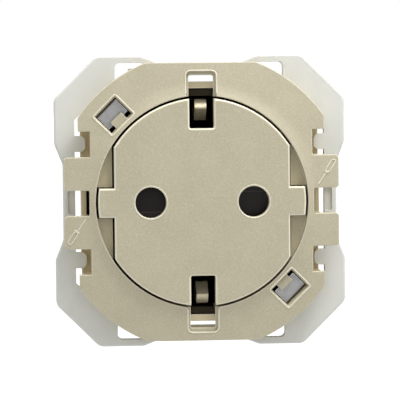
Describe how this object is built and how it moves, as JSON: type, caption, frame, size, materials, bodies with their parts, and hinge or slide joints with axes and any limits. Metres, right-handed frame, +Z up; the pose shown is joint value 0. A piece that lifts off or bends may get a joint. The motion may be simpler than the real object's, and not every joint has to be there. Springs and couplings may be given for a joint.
{
  "type": "flush type f wall socket mechanism",
  "caption": "Flush round wall socket insert with a spring-loaded plug face, rotary pin shutter, side earth clips, square mounting frame and rear terminals.",
  "frame": {"origin": "midway between the two pin holes, on the back face of the mounting frame", "axes": "+Z up, +X right as seen from the front, the front faces -Y and plugs go in along +Y"},
  "size_m": [0.0542, 0.0398, 0.0542],
  "materials": {
    "champagne": "satin metallic-speckled paint on moulded plastic",
    "offwhite": "satin moulded plastic",
    "black": "fine matt moulded plastic",
    "shutter_black": "smooth moulded plastic",
    "zinc_steel": "zinc plated",
    "nickel": "nickel plated brass",
    "contact_brass": "stamped brass",
    "spring_steel": "drawn spring wire",
    "screw_steel": "zinc plated"
  },
  "bodies": {
    "socket_body": {"mounting_frame": "offwhite", "front_cover": "champagne", "contact_carrier": "black", "earth_clip_upper": "nickel", "earth_clip_lower": "nickel", "earth_bridge": "contact_brass", "earth_rivets": "contact_brass", "neutral_contact": "contact_brass", "line_contact": "contact_brass", "terminal_screws": "screw_steel", "rear_housing": "black", "assembly_screws": "screw_steel", "neutral_terminal": "contact_brass", "earth_terminal": "contact_brass", "line_terminal": "contact_brass", "latch_plate_upper_left": "zinc_steel", "latch_plate_lower_right": "zinc_steel", "return_spring_upper_right": "spring_steel", "return_spring_upper_left": "spring_steel", "return_spring_lower_right": "spring_steel", "return_spring_lower_left": "spring_steel"},
    "moving_face": {"face_plate": "champagne", "shutter_retainer": "black", "retainer_screws": "screw_steel", "shutter_spring": "spring_steel"},
    "shutter": {"shutter_rotor": "shutter_black"}
  },
  "joints": [
    {"name": "face_slide", "type": "slide", "parent": "socket_body", "child": "moving_face", "axis": [0, 1, 0], "range_m": [0, 0.017], "stiffness_N_per_m": 700, "springref_m": -0.011, "deforming": ["return_spring_upper_right", "return_spring_upper_left", "return_spring_lower_right", "return_spring_lower_left"]},
    {"name": "shutter_turn", "type": "hinge", "parent": "moving_face", "child": "shutter", "pos_m": [0, -0.0053, 0], "axis": [0, -1, 0], "range_deg": [0, 40], "stiffness_Nm_per_rad": 0.001, "springref_deg": -22.92, "deforming": ["shutter_spring"]}
  ]
}
